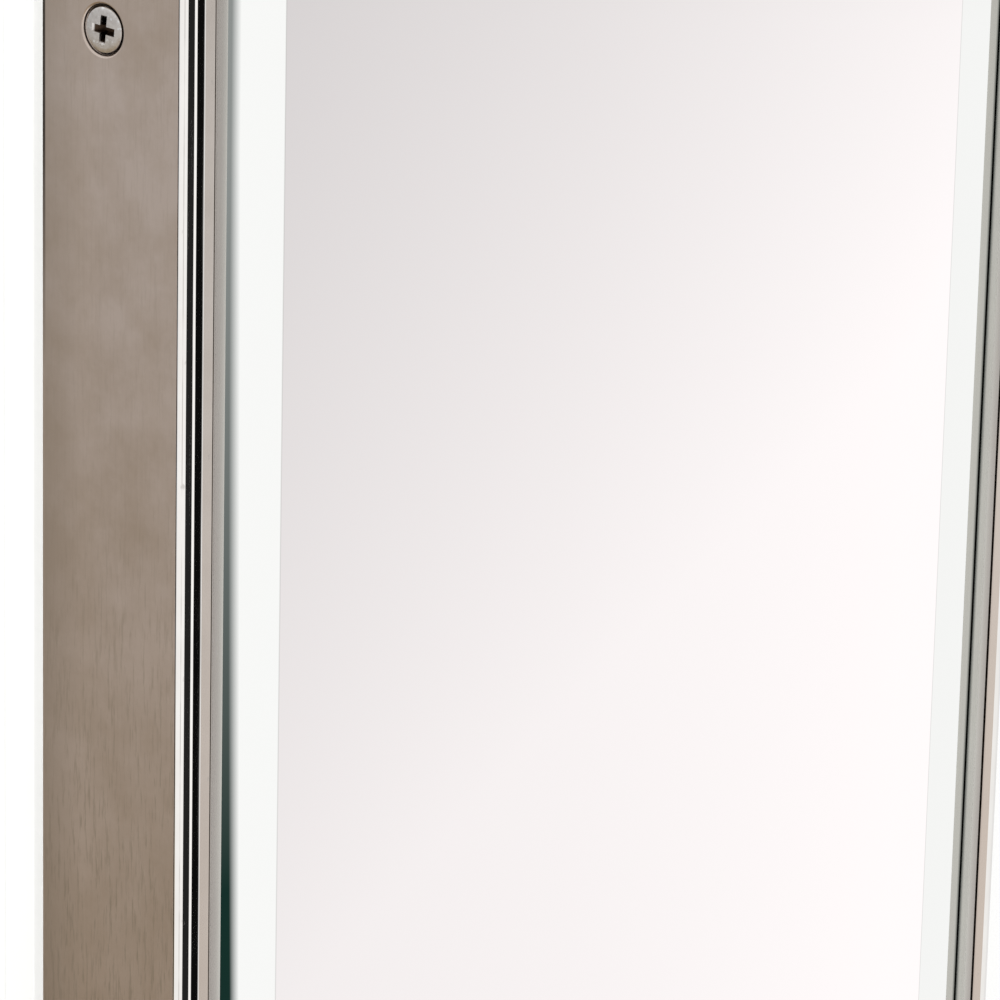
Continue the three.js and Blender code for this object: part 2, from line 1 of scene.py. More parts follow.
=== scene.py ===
# Recessed medicine cabinet: a deep satin nickel door with polished trim and a bevelled mirror, on a white
# steel case with glass shelves. Metres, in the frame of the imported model.
import json
import math

import bmesh
import bpy
from mathutils import Matrix, Vector

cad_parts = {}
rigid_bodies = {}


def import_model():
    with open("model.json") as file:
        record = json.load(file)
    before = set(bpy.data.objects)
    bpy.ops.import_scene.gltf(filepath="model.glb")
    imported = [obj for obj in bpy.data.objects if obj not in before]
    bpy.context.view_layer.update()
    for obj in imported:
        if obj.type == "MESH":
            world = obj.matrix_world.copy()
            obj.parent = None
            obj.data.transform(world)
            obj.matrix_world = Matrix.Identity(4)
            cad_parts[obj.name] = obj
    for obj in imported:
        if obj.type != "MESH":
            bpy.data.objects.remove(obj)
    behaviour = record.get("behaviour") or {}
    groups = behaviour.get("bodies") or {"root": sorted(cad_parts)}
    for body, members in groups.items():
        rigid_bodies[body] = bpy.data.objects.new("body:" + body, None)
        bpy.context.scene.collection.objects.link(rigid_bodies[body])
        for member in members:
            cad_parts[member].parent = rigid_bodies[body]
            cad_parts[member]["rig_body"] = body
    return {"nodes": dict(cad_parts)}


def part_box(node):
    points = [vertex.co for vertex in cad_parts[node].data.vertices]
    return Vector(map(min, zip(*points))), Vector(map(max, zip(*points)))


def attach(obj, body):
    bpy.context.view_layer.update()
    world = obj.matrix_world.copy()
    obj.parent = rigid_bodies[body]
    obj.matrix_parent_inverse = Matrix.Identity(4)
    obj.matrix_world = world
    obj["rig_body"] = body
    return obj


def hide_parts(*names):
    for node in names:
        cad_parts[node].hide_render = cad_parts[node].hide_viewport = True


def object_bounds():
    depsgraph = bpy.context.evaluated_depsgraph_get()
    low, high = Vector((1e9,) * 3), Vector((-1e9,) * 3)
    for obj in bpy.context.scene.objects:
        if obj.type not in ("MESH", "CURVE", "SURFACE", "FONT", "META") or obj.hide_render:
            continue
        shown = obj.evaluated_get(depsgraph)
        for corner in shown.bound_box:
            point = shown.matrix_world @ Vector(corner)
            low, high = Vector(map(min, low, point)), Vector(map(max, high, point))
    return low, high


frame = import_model()
cad_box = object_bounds()
MM = 0.001

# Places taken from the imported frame
HALF_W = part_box("trim_right")[1].x
HALF_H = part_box("trim_top")[1].z
FACE_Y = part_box("trim_left")[0].y
TRIM_REAR_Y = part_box("trim_left")[1].y
TRIM_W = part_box("trim_left")[1].x + HALF_W
RETAINER_LOW, RETAINER_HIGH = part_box("mirror_retainer_left")
SIGHT_X = -RETAINER_HIGH.x
SIGHT_Z = HALF_H - (HALF_W - SIGHT_X)
WEB_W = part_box("door_frame_left")[1].x + HALF_W
SCREW_LOW, SCREW_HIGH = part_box("side_screw_left_upper")
SCREW_Y = (SCREW_LOW.y + SCREW_HIGH.y) / 2
SCREW_Z = (SCREW_LOW.z + SCREW_HIGH.z) / 2
SCREW_HEAD_R = (SCREW_HIGH.z - SCREW_LOW.z) / 2
GLASS_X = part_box("mirror_glass")[1].x
GLASS_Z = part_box("mirror_glass")[1].z
CASE_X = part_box("case_back")[1].x

# The door's own measures
SIDES = ("left", "top", "right", "bottom")
GAP = 0.3 * MM  # between pieces that meet
MITRE = GAP / 2 * math.sqrt(2)
BEVEL_W = 25.4 * MM
BEAD_W = 6.7 * MM  # the trim's rounded edge

# ---------------------------------------------------------------- shader maths


class Value:
    """A number on a shader socket. Python's operators add Math nodes to its material."""

    def __init__(self, tree, socket):
        self.tree = tree
        self.socket = socket

    def maths(self, operation, *others, clamp=False):
        node = self.tree.nodes.new("ShaderNodeMath")
        node.operation = operation
        node.use_clamp = clamp
        for slot, value in zip(node.inputs, others):
            if isinstance(value, Value):
                self.tree.links.new(value.socket, slot)
            else:
                slot.default_value = value
        return Value(self.tree, node.outputs[0])

    def __add__(self, other):
        return self.maths("ADD", self, other)

    def __sub__(self, other):
        return self.maths("SUBTRACT", self, other)

    def __rsub__(self, other):
        return self.maths("SUBTRACT", other, self)

    def __mul__(self, other):
        return self.maths("MULTIPLY", self, other)

    def __truediv__(self, other):
        return self.maths("DIVIDE", self, other)

    __radd__ = __add__
    __rmul__ = __mul__

    def size(self):
        return self.maths("ABSOLUTE", self)

    def least(self, other):
        return self.maths("MINIMUM", self, other)

    def most(self, other):
        return self.maths("MAXIMUM", self, other)

    def within(self):
        """Held between 0 and 1."""
        return self.maths("ADD", self, 0.0, clamp=True)

    def step(self, low, high):
        """0 at low and 1 at high, with a straight run between."""
        return ((self - low) / (high - low)).within()


class Nodes:
    """The nodes of one material or world."""

    def __init__(self, tree):
        self.tree = tree
        tree.nodes.clear()

    def node(self, kind, settings=None, sockets=None, out=0):
        """Adds a node, applies its settings, then gives its sockets their values or links."""
        node = self.tree.nodes.new(kind)
        for key, value in (settings or {}).items():
            if key == "stops":
                self.stops(node.color_ramp, value)
            else:
                setattr(node, key, value)
        for key, value in (sockets or {}).items():
            if isinstance(value, Value):
                self.tree.links.new(value.socket, node.inputs[key])
            else:
                node.inputs[key].default_value = value
        return Value(self.tree, node.outputs[out]) if len(node.outputs) else node

    def stops(self, ramp, stops):
        while len(ramp.elements) < len(stops):
            ramp.elements.new(1.0)
        for element, (place, shade) in zip(ramp.elements, stops):
            element.position = place
            element.color = (shade, shade, shade, 1.0) if isinstance(shade, float) else shade

    def place(self):
        """Where a point is on the object, as a vector."""
        return self.node("ShaderNodeTexCoord", out=3)

    def split(self, vector):
        node = self.tree.nodes.new("ShaderNodeSeparateXYZ")
        self.tree.links.new(vector.socket, node.inputs[0])
        return [Value(self.tree, output) for output in node.outputs]

    def noise(self, scale, detail, rough):
        """Noise from 0 to 1, scaled alike in all directions or by a vector."""
        stretch = scale if isinstance(scale, tuple) else (scale, scale, scale)
        place = self.node("ShaderNodeMapping", {}, {"Vector": self.place(), "Scale": stretch})
        sockets = {"Vector": place, "Scale": 1.0, "Detail": detail, "Roughness": rough}
        return self.node("ShaderNodeTexNoise", {}, sockets)

    def mix(self, share, first, second):
        """Two colours mixed. A colour is a tuple or a socket."""
        pair = [(*c, 1.0) if isinstance(c, tuple) else c for c in (first, second)]
        return self.node("ShaderNodeMix", {"data_type": "RGBA"}, {0: share, 6: pair[0], 7: pair[1]}, out=2)

    def bump(self, height, depth, strength=1.0):
        sockets = {"Height": height, "Distance": depth, "Strength": strength}
        return self.node("ShaderNodeBump", {}, sockets)


class Finish(Nodes):
    """A material with one Principled shader."""

    def __init__(self, name):
        self.material = bpy.data.materials.new(name)
        self.material.use_nodes = True
        super().__init__(self.material.node_tree)

    def surface(self, **sockets):
        """The shader, with the named sockets, joined to the output."""
        pairs = {key.replace("_", " "): value for key, value in sockets.items()}
        shader = self.node("ShaderNodeBsdfPrincipled", {}, pairs)
        self.node("ShaderNodeOutputMaterial", {}, {"Surface": shader})
        return self.material


# ---------------------------------------------------------------- finishes


def brushed(grain, run, across):
    """Noise scales for marks that run along one axis."""
    return tuple(run if axis == grain else across for axis in "xyz")


def retainer_nickel(name, grain):
    """Greyer brushed strip with a painted highlight that brightens it towards the glass."""
    f = Finish(name)
    x, y, z = f.split(f.place())
    lines = f.noise(brushed(grain, 12.0, 1800.0), 4.0, 0.6).step(0.3, 0.7)
    haze = f.noise(34.0, 4.0, 0.6).step(0.3, 0.7)
    inwards = (HALF_W - x.size()).least(HALF_H - z.size())
    lip = (inwards - TRIM_W).step(0.6 * MM, 4.4 * MM)
    grey = (0.415, 0.385, 0.36)
    pale = (0.60, 0.59, 0.55)
    streak = (0.66, 0.62, 0.58)
    # Painted highlight: the grey strip is painted pale towards the glass, by the lip mask.
    colour = f.mix(lip * lip, grey, pale)
    colour = f.mix((lines * 0.6 + haze * 0.4) * 0.22, colour, streak)
    return f.surface(
        Base_Color=colour,
        Metallic=1.0,
        Roughness=0.2 + lines * 0.07 + haze * 0.05,
        Normal=f.bump(lines, 0.03 * MM, 0.3),
    )


def satin_nickel(name, grain):
    """Brushed nickel with faint stains, short rubbed marks, painted shade towards the rear edge and a
    painted dark shadow line along the rear edge.
    """
    f = Finish(name)
    x, y, z = f.split(f.place())
    streaks = f.noise(brushed(grain, 14.0, 1500.0), 4.0, 0.6)
    bands = f.noise(brushed(grain, 5.0, 240.0), 3.0, 0.5)
    marks = f.noise(brushed(grain, 120.0, 1300.0), 3.0, 0.65)
    stains = f.noise(24.0, 5.0, 0.62)
    spots = f.noise(80.0, 4.0, 0.7)
    worn = (stains * 0.62 + spots * 0.38).step(0.38, 0.62)
    lines = (streaks * 0.55 + bands * 0.45).step(0.3, 0.7)
    rubbed = marks.step(0.52, 0.68) * (stains * 0.35 + (0.06 - z).step(0.0, 0.12) * 0.8)
    # Painted shade: darker towards the rear edge, more so low down.
    margin = (y + 15.0 * MM).step(0.0, 13.0 * MM) * (0.85 + (0.1 - z).step(0.0, 0.2) * 0.5)
    # Painted shadow: a thin dark line along the rear edge, on the upper part only.
    rear_shadow_line = (y + 2.5 * MM).step(0.0, 0.3 * MM) * (z - 0.08).step(0.0, 0.06)
    stained = (0.60, 0.495, 0.415)
    clean = (0.735, 0.63, 0.57)
    streak = (0.80, 0.70, 0.63)
    brown = (0.44, 0.37, 0.29)
    rear_shade = (0.42, 0.355, 0.295)
    shadow_black = (0.04, 0.035, 0.03)
    colour = f.mix(worn, stained, clean)
    colour = f.mix(lines * 0.25, colour, streak)
    colour = f.mix(rubbed * 0.7, colour, brown)
    colour = f.mix(margin * 0.45, colour, rear_shade)
    colour = f.mix(rear_shadow_line * 0.9, colour, shadow_black)
    rough = 0.27 + lines * 0.06 + (1.0 - worn) * 0.06 + rubbed * 0.08
    return f.surface(
        Base_Color=colour,
        Metallic=1.0,
        Roughness=rough,
        Normal=f.bump(lines, 0.04 * MM, 0.35),
    )


def polished_nickel():
    """Bright on the trim's rounded edge, satin on its flat, with fine nicks and a broken rolled line."""
    f = Finish("polished_nickel")
    x, y, z = f.split(f.place())
    inwards = (HALF_W - x.size()).least(HALF_H - z.size())
    flat = inwards.step(BEAD_W - 0.1 * MM, BEAD_W + 0.1 * MM)
    haze = f.noise(60.0, 4.0, 0.6)
    hair = f.noise((900.0, 900.0, 22.0), 3.0, 0.6)
    nicks = f.noise((420.0, 420.0, 190.0), 2.0, 0.5).step(0.72, 0.78)
    low = (0.12 - z).step(0.0, 0.26)
    cloud = haze.step(0.3, 0.7)
    bright = f.mix(cloud, (0.90, 0.87, 0.845), (0.97, 0.955, 0.935))
    satin = f.mix(cloud, (0.62, 0.56, 0.515), (0.69, 0.63, 0.585))
    satin = f.mix(low * 0.8, satin, (0.56, 0.47, 0.405))
    broken = f.noise((40.0, 40.0, 26.0), 4.0, 0.7).step(0.42, 0.56)
    rolled = (1.0 - (inwards - 0.95 * MM).size().step(0.05 * MM, 0.16 * MM)) * broken
    grey = (0.45, 0.42, 0.40)
    colour = f.mix((nicks * 0.5).most(rolled * 0.55), f.mix(flat, bright, satin), grey)
    rough = 0.02 + flat * 0.16 + haze.step(0.4, 0.75) * 0.02 + hair.step(0.62, 0.72) * 0.04 + nicks * 0.1
    waves = f.bump(f.noise((60.0, 60.0, 12.0), 2.0, 0.5), 0.08 * MM)
    return f.surface(Base_Color=colour, Metallic=1.0, Roughness=rough, Normal=waves)


def screw_nickel():
    """Plated screw with bright specks, and painted shade where the recess and the seat go down."""
    f = Finish("screw_nickel")
    x, y, z = f.split(f.place())
    # Painted shade: dark deeper than the side face, in the recess and the seat.
    depth = (HALF_W - x.size()).step(0.45 * MM, 0.75 * MM)
    grime = f.noise(700.0, 4.0, 0.7)
    specks = f.noise(950.0, 2.0, 0.5).step(0.6, 0.68)
    white = (1.0, 1.0, 1.0)
    recess_shade = (0.07, 0.045, 0.03)
    plate = f.mix(grime.step(0.35, 0.7), (0.72, 0.68, 0.65), (0.90, 0.87, 0.85))
    colour = f.mix(depth, f.mix(specks, plate, white), recess_shade)
    rough = 0.24 + grime * 0.2 - specks * 0.1
    bump = f.bump(grime, 0.05 * MM, 0.6)
    return f.surface(Base_Color=colour, Metallic=1.0, Roughness=rough, Normal=bump)


def mirror_finish():
    """Silvered glass: bright, a fine line where the bevel starts, and painted shade and reflection of the
    retainer's lip, tinted green like the glass, at the edge.
    """
    f = Finish("silvered_glass")
    x, y, z = f.split(f.place())
    # Painted shade and reflection of the retainer's lip along the bevel's edge, tinted green like the glass:
    # widest on the left, wider low down.
    low = (0.14 - z).step(0.0, 0.24)
    near = 4.3 * MM + low * low * (2.6 * MM)
    far = 7.6 * MM + low * (2.4 * MM)
    left = (1.0 - (x + SIGHT_X - near) / (far - near)).within() * (0.72 + low * 0.35).within()
    right = 1.0 - (SIGHT_X - x).step(0.3 * MM, 1.9 * MM)
    ends = 1.0 - (SIGHT_Z - z.size()).step(1.2 * MM, 3.4 * MM)
    edge = left.most(right).most(ends)
    inwards = (GLASS_X - x.size()).least(GLASS_Z - z.size()) - BEVEL_W
    field = inwards.step(-0.05 * MM, 0.05 * MM)
    line = 1.0 - inwards.size().step(0.12 * MM, 0.3 * MM)
    film = f.noise(9.0, 3.0, 0.5)
    wipe = f.noise((60.0, 60.0, 9.0), 4.0, 0.6)
    on_bevel = (0.97, 0.98, 0.975)
    on_field = (0.985, 0.945, 0.955)
    grey = (0.55, 0.55, 0.54)
    edge_shade_green = (0.004, 0.026, 0.020)
    silver = f.mix(line * 0.45, f.mix(field, on_bevel, on_field), grey)
    colour = f.mix(edge, silver, edge_shade_green)
    rim = (inwards + BEVEL_W).step(0.05 * MM, 0.1 * MM)
    rough = 0.006 + film * 0.006 + wipe.step(0.5, 0.8) * 0.008 + edge * 0.08
    return f.surface(Base_Color=colour, Metallic=rim, Roughness=rough)


def powder_coat():
    """White paint with a fine orange peel."""
    f = Finish("white_powder_coat")
    peel = f.noise(520.0, 2.0, 0.5)
    tone = f.noise(7.0, 3.0, 0.5)
    colour = f.mix(tone, (0.71, 0.71, 0.70), (0.78, 0.78, 0.77))
    return f.surface(
        Base_Color=colour,
        Roughness=0.36 + peel * 0.12,
        Normal=f.bump(peel, 0.06 * MM, 0.55),
        Coat_Weight=0.25,
        Coat_Roughness=0.2,
    )


def zinc_plate():
    """Cloudy bright zinc with a faint grain."""
    f = Finish("zinc_plate")
    cloud = f.noise(140.0, 4.0, 0.6)
    grain = f.noise((1800.0, 1800.0, 60.0), 2.0, 0.5)
    colour = f.mix(cloud.step(0.3, 0.7), (0.56, 0.575, 0.60), (0.70, 0.705, 0.70))
    rough = 0.24 + cloud * 0.16 + grain * 0.06
    bump = f.bump(grain, 0.03 * MM, 0.4)
    return f.surface(Base_Color=colour, Metallic=1.0, Roughness=rough, Normal=bump)


def shelf_glass():
    """Clear glass with a green tone that deepens at the ground edges."""
    f = Finish("shelf_glass")
    x, y, z = f.split(f.place())
    low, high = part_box("shelf_middle")
    inside = (high.x - x.size()).least(y - low.y).least(high.y - y)
    edge = 1.0 - inside.step(0.6 * MM, 2.2 * MM)
    colour = f.mix(edge, (0.93, 0.985, 0.965), (0.42, 0.74, 0.64))
    return f.surface(
        Base_Color=colour,
        Roughness=0.02 + edge * 0.12,
        Transmission_Weight=1.0,
        IOR=1.5,
    )


def moulded(name, dark, light, rough=0.42):
    """An even material with a slight grain: plastic, ferrite or board."""
    f = Finish(name)
    grain = f.noise(1400.0, 2.0, 0.5)
    tone = f.noise(30.0, 3.0, 0.5)
    return f.surface(
        Base_Color=f.mix(tone, dark, light),
        Roughness=rough + grain * 0.12,
        Normal=f.bump(grain, 0.03 * MM, 0.5),
    )


FINISH = {
    "nickel_up": satin_nickel("satin_nickel_up", "z"),
    "nickel_across": satin_nickel("satin_nickel_across", "x"),
    "retainer_up": retainer_nickel("retainer_nickel_up", "z"),
    "retainer_across": retainer_nickel("retainer_nickel_across", "x"),
    "polished_nickel": polished_nickel(),
    "screw_nickel": screw_nickel(),
    "mirror": mirror_finish(),
    "white_steel": powder_coat(),
    "zinc": zinc_plate(),
    "shelf_glass": shelf_glass(),
    "white_plastic": moulded("white_plastic", (0.72, 0.72, 0.70), (0.80, 0.80, 0.78)),
    "magnet": moulded("ferrite", (0.035, 0.035, 0.038), (0.07, 0.07, 0.075), 0.5),
    "backing_board": moulded("backing_board", (0.10, 0.11, 0.12), (0.16, 0.17, 0.18), 0.7),
}

# ---------------------------------------------------------------- making pieces


def piece(name, bm, finish, body, nodes=(), smooth=30.0):
    """A finished mesh: smooth but for edges sharper than the angle, riding on its body."""
    limit = math.radians(smooth)
    for edge in bm.edges:
        edge.smooth = len(edge.link_faces) == 2 and edge.calc_face_angle(0.0) < limit
    for face in bm.faces:
        face.smooth = True
    mesh = bpy.data.meshes.new(name)
    bm.to_mesh(mesh)
    bm.free()
    made = bpy.data.objects.new(name, mesh)
    bpy.context.scene.collection.objects.link(made)
    mesh.materials.append(FINISH[finish])
    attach(made, body)
    if nodes:
        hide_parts(*nodes)
    return made


def cut_by(made, cutters):
    """Takes closed solids out of a piece and keeps the result as its mesh."""
    for bm in cutters:
        mesh = bpy.data.meshes.new("cutter")
        bm.to_mesh(mesh)
        bm.free()
        tool = bpy.data.objects.new("cutter", mesh)
        bpy.context.scene.collection.objects.link(tool)
        cut = made.modifiers.new("cut", "BOOLEAN")
        cut.operation = "DIFFERENCE"
        cut.solver = "EXACT"
        cut.object = tool
        settle(made)
        bpy.data.objects.remove(tool)


def settle(made):
    """Applies the piece's modifiers."""
    bpy.context.view_layer.update()
    shown = made.evaluated_get(bpy.context.evaluated_depsgraph_get())
    mesh = bpy.data.meshes.new_from_object(shown)
    mesh.name = made.name
    made.modifiers.clear()
    made.data = mesh


def soften(made, width, segments=2, angle=40.0):
    """Rounds the sharp edges of a piece."""
    bevel = made.modifiers.new("soft_edges", "BEVEL")
    bevel.width = width
    bevel.segments = segments
    bevel.limit_method = "ANGLE"
    bevel.angle_limit = math.radians(angle)
    bevel.harden_normals = True
    bevel.use_clamp_overlap = True


def bent_sheet(made, width, segments, angle, thickness):
    """Rounds the bends of a folded surface, then gives it its thickness."""
    rounded = made.modifiers.new("bends", "BEVEL")
    rounded.width = width
    rounded.segments = segments
    rounded.limit_method = "ANGLE"
    rounded.angle_limit = math.radians(angle)
    sheet = made.modifiers.new("sheet", "SOLIDIFY")
    sheet.thickness = thickness
    sheet.offset = 0.0


def cad_copy(node):
    """A CAD node's shape as a merged bmesh, with its flat faces joined up."""
    bm = bmesh.new()
    bm.from_mesh(frame["nodes"][node].data)
    bmesh.ops.remove_doubles(bm, verts=bm.verts, dist=1e-6)
    bmesh.ops.dissolve_limit(bm, angle_limit=math.radians(0.5), verts=bm.verts, edges=bm.edges)
    return bm


def refined(node, finish, width, segments=2):
    """The CAD node's own shape with its sharp edges rounded."""
    body = frame["nodes"][node]["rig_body"]
    made = piece(node + "_made", cad_copy(node), finish, body, (node,))
    soften(made, width, segments)


def drawn_out(points):
    """An outline of (x, y) extruded along Z. Returns the solid and the corners of its far end."""
    bm = bmesh.new()
    face = bm.faces.new([bm.verts.new((x, y, 0.0)) for x, y in points])
    grown = bmesh.ops.extrude_face_region(bm, geom=[face])["geom"]
    return bm, {item for item in grown if isinstance(item, bmesh.types.BMVert)}


def mitred(section, side):
    """One member of the door's frame, mitred at both ends. In the section x runs inwards, y is the depth."""
    upright = side % 2 == 0
    half = HALF_W if upright else HALF_H
    reach = HALF_H if upright else HALF_W
    bm, far = drawn_out(section)
    for vert in bm.verts:
        end = 1.0 if vert in far else -1.0
        inwards = vert.co.x
        vert.co.z = end * (reach - inwards - MITRE)
        vert.co.x = inwards - half
    bmesh.ops.recalc_face_normals(bm, faces=bm.faces)
    turn = Matrix.Rotation(side * math.pi / 2, 3, "Y")
    bmesh.ops.transform(bm, matrix=turn.to_4x4(), verts=bm.verts)
    return bm


def lathe(profile, steps=48):
    """A profile of (radius, height) spun into a closed solid about Z."""
    bm = bmesh.new()
    points = [bm.verts.new((r, 0.0, h)) for r, h in profile]
    edges = [bm.edges.new(pair) for pair in zip(points, points[1:])]
    bmesh.ops.spin(
        bm,
        geom=points + edges,
        cent=(0, 0, 0),
        axis=(0, 0, 1),
        angle=2 * math.pi,
        steps=steps,
        use_merge=True,
    )
    bmesh.ops.remove_doubles(bm, verts=bm.verts, dist=1e-7)
    bmesh.ops.recalc_face_normals(bm, faces=bm.faces)
    return bm


def aimed(bm, place, direction):
    """Turns a solid that points up Z so that it points along a direction, at a place."""
    turn = Vector((0, 0, 1)).rotation_difference(Vector(direction)).to_matrix().to_4x4()
    bmesh.ops.transform(bm, matrix=Matrix.Translation(place) @ turn, verts=bm.verts)
    return bm


def cuboid(low, high):
    """A box between two corners."""
    bm = bmesh.new()
    size = [b - a for a, b in zip(low, high)]
    middle = [(a + b) / 2 for a, b in zip(low, high)]
    bmesh.ops.create_cube(bm, size=1.0)
    bmesh.ops.scale(bm, vec=size, verts=bm.verts)
    bmesh.ops.translate(bm, vec=middle, verts=bm.verts)
    return bm


# ---------------------------------------------------------------- the door's frame, trim and retainer

TRIM_D = TRIM_REAR_Y - FACE_Y
TRIM_EDGE = 0.3 * MM  # chamfer beside the retainer
SEAM = 0.42 * MM  # open joint between trim and retainer
FRAME_T = 1.8 * MM
FRAME_EDGE_R = 0.18 * MM
SHARP = 25.0  # degrees, past which an edge of the trim or retainer stays sharp
LIP_R = 0.35 * MM  # turn from the door's side into the rounded edge
LIP_STEPS = 8
# The rounded edge is a run of lands. Each has a width, and a tilt that falls from its start to its end.
LANDS = (
    (1.45 * MM, 42.0, 27.5),
    (1.85 * MM, 20.5, 19.8),
    (0.52 * MM, 16.4, 14.8),
    (2.50 * MM, 11.2, 10.1),
    (0.20 * MM, 7.0, 1.0),
)
LAND_STEPS = 10


def trim_section():
    """Rounded over at the outer edge in soft lands, then flat to the retainer."""
    points = []
    for i in range(LIP_STEPS + 1):
        tilt = math.radians(90.0 - (90.0 - LANDS[0][1]) * i / LIP_STEPS)
        points.append((LIP_R * (1 - math.sin(tilt)), LIP_R * math.cos(tilt)))
    for run, start, end in LANDS:
        for i in range(LAND_STEPS):
            tilt = math.radians(start + (end - start) * (i + 0.5) / LAND_STEPS)
            x, rise = points[-1]
            points.append((x + run / LAND_STEPS, rise + run / LAND_STEPS * math.tan(tilt)))
    across = BEAD_W / points[-1][0]
    high = TRIM_D / points[-1][1]
    return [
        *[(x * across, TRIM_REAR_Y - rise * high) for x, rise in points],
        (TRIM_W - TRIM_EDGE - SEAM, FACE_Y),
        (TRIM_W - SEAM, FACE_Y + TRIM_EDGE),
        (TRIM_W - SEAM, TRIM_REAR_Y),
    ]


def retainer_section():
    """A narrow strip with both front edges rounded and a lip down to the glass."""
    outer = TRIM_W + GAP
    inner = HALF_W - SIGHT_X
    face = RETAINER_LOW.y
    lip = RETAINER_HIGH.y
    radius = 0.4 * MM
    step = WEB_W + GAP
    steps = 6

    def corner(x, y, start):
        turns = [start + math.pi / 2 * i / steps for i in range(steps + 1)]
        return [(x + radius * math.cos(t), y + radius * math.sin(t)) for t in turns]

    return [
        (outer, TRIM_REAR_Y),
        *corner(outer + radius, face + radius, math.pi),
        *corner(inner - radius, face + radius, math.pi * 1.5),
        (inner, lip),
        (step, lip),
        (step, TRIM_REAR_Y),
    ]


def angle_section(node):
    """The frame's L: a deep side and a narrow web behind the trim."""
    low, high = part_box(node)
    web = low.y + FRAME_T
    return [(0, high.y), (0, low.y), (WEB_W, low.y), (WEB_W, web), (FRAME_T, web), (FRAME_T, high.y)]


def screw_seat(sign, z):
    """Countersink for a side screw with a softly rolled rim, as a cutter."""
    rim = SCREW_HEAD_R + 0.7 * MM
    hole = 3.2 * MM
    clear = 1.0 * MM
    profile = [
        (0, clear),
        (rim + 1.45 * MM, clear),
        (rim + 0.45 * MM, 0.0),
        (rim + 0.2 * MM, -0.1 * MM),
        (rim, -0.35 * MM),
        (rim - 0.15 * MM, -0.9 * MM),
        (hole, hole - rim - 0.7 * MM),
        (hole, -12.0 * MM),
        (0, -12.0 * MM),
    ]
    return aimed(lathe(profile, 72), (sign * HALF_W, SCREW_Y, z), (sign, 0, 0))


def member(node, section, side, finish, smooth=30.0):
    """One of the door's mitred members, in place of its CAD node."""
    return piece(node + "_made", mitred(section, side), finish, "door", (node,), smooth)


def make_frame():
    """The door's four sides, each with its trim and its retainer."""
    for side, word in enumerate(SIDES):
        upright = side % 2 == 0
        grain = "up" if upright else "across"
        node = "door_frame_" + word
        made = member(node, angle_section(node), side, "nickel_" + grain)
        if upright:
            sign = -1 if word == "left" else 1
            cut_by(made, [screw_seat(sign, z) for z in (SCREW_Z, -SCREW_Z)])
        else:
            notch(made, 1 if word == "top" else -1)
        soften(made, FRAME_EDGE_R)
        member("trim_" + word, trim_section(), side, "polished_nickel", SHARP)
        strip = "mirror_retainer_" + word
        member(strip, retainer_section(), side, "retainer_" + grain, SHARP)


def notch(made, sign):
    """Cuts the rear corner of the top or bottom at the hinge end."""
    notch_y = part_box("door_frame_right")[1].y
    ends = sorted((sign * HALF_H * 1.02, sign * HALF_H * 0.9))
    low = (HALF_W - 9.0 * MM, notch_y, ends[0])
    high = (HALF_W + 1.0 * MM, 1.0 * MM, ends[1])
    cut_by(made, [cuboid(low, high)])


# ---------------------------------------------------------------- screws and rivets


def cross_recess(length, width, depth, turn):
    """Two crossed bars that taper downwards, as cutters at the top of a head."""
    cutters = []
    for angle in (turn, turn + 90.0):
        bm = cuboid((-length / 2, -width / 2, -depth), (length / 2, width / 2, 0.4 * MM))
        for vert in bm.verts:
            if vert.co.z < 0:
                vert.co.x *= 0.42
                vert.co.y *= 0.62
        spin = Matrix.Rotation(math.radians(angle), 3, "Z")
        bmesh.ops.rotate(bm, cent=(0, 0, 0), matrix=spin, verts=bm.verts)
        cutters.append(bm)
    return cutters


def side_screw(name, sign, z, turn):
    """Countersunk screw with a faintly crowned head, a ground rim and a threaded shank."""
    r = SCREW_HEAD_R - 0.1 * MM
    shank = 2.9 * MM
    end = -12.9 * MM
    profile = [
        (0, -0.03 * MM),
        (r * 0.3, -0.04 * MM),
        (r * 0.55, -0.07 * MM),
        (r * 0.78, -0.14 * MM),
        (r * 0.92, -0.22 * MM),
        (r * 0.98, -0.32 * MM),
        (r, -0.5 * MM),
        (r - 0.05 * MM, -0.7 * MM),
        (shank, shank - r - 0.5 * MM),
        *thread(shank, 2.45 * MM, 4.2 * MM, 12.2 * MM, 1.0 * MM),
        (1.6 * MM, end),
        (0, end),
    ]
    place = (sign * HALF_W, SCREW_Y, z)
    outwards = (sign, 0, 0)
    bm = aimed(lathe(profile, 64), place, outwards)
    made = piece(name + "_made", bm, "screw_nickel", "door", (name,))
    cross = cross_recess(8.0 * MM, 2.1 * MM, 2.6 * MM, turn)
    cut_by(made, [aimed(bar, place, outwards) for bar in cross])
    soften(made, 0.12 * MM, 2, 35.0)


def thread(crest, root, start, end, pitch):
    """Crests and roots of a thread as rings down the shank."""
    points = []
    count = int((end - start) / pitch)
    for i in range(count):
        top = -(start + i * pitch)
        points += [(root, top), (crest, top - pitch * 0.4), (crest, top - pitch * 0.5)]
        points += [(root, top - pitch * 0.9)]
    return points


def pan_head(name, node, place, direction, head_r, head_t, shank_r, length, body):
    """Round-headed cross screw: place is on the seat, direction points out of the head."""
    profile = [(0, head_t)]
    steps = 8
    for i in range(1, steps + 1):
        turn = math.pi / 2 * i / steps
        profile.append((head_r * math.sin(turn), head_t * (0.25 + 0.75 * math.cos(turn))))
    profile += [(head_r, 0.0), (shank_r, 0.0)]
    profile += [*thread(shank_r, shank_r * 0.8, 0.4 * MM, length - 1.2 * MM, 0.9 * MM)]
    profile += [(shank_r * 0.7, -length), (0, -length)]
    bm = aimed(lathe(profile, 40), place, direction)
    made = piece(name, bm, "zinc", body, (node,) if node else ())
    top = Vector(place) + Vector(direction) * head_t
    cross = cross_recess(head_r * 1.1, head_r * 0.26, head_t * 0.75, 20.0)
    cut_by(made, [aimed(bar, top, direction) for bar in cross])


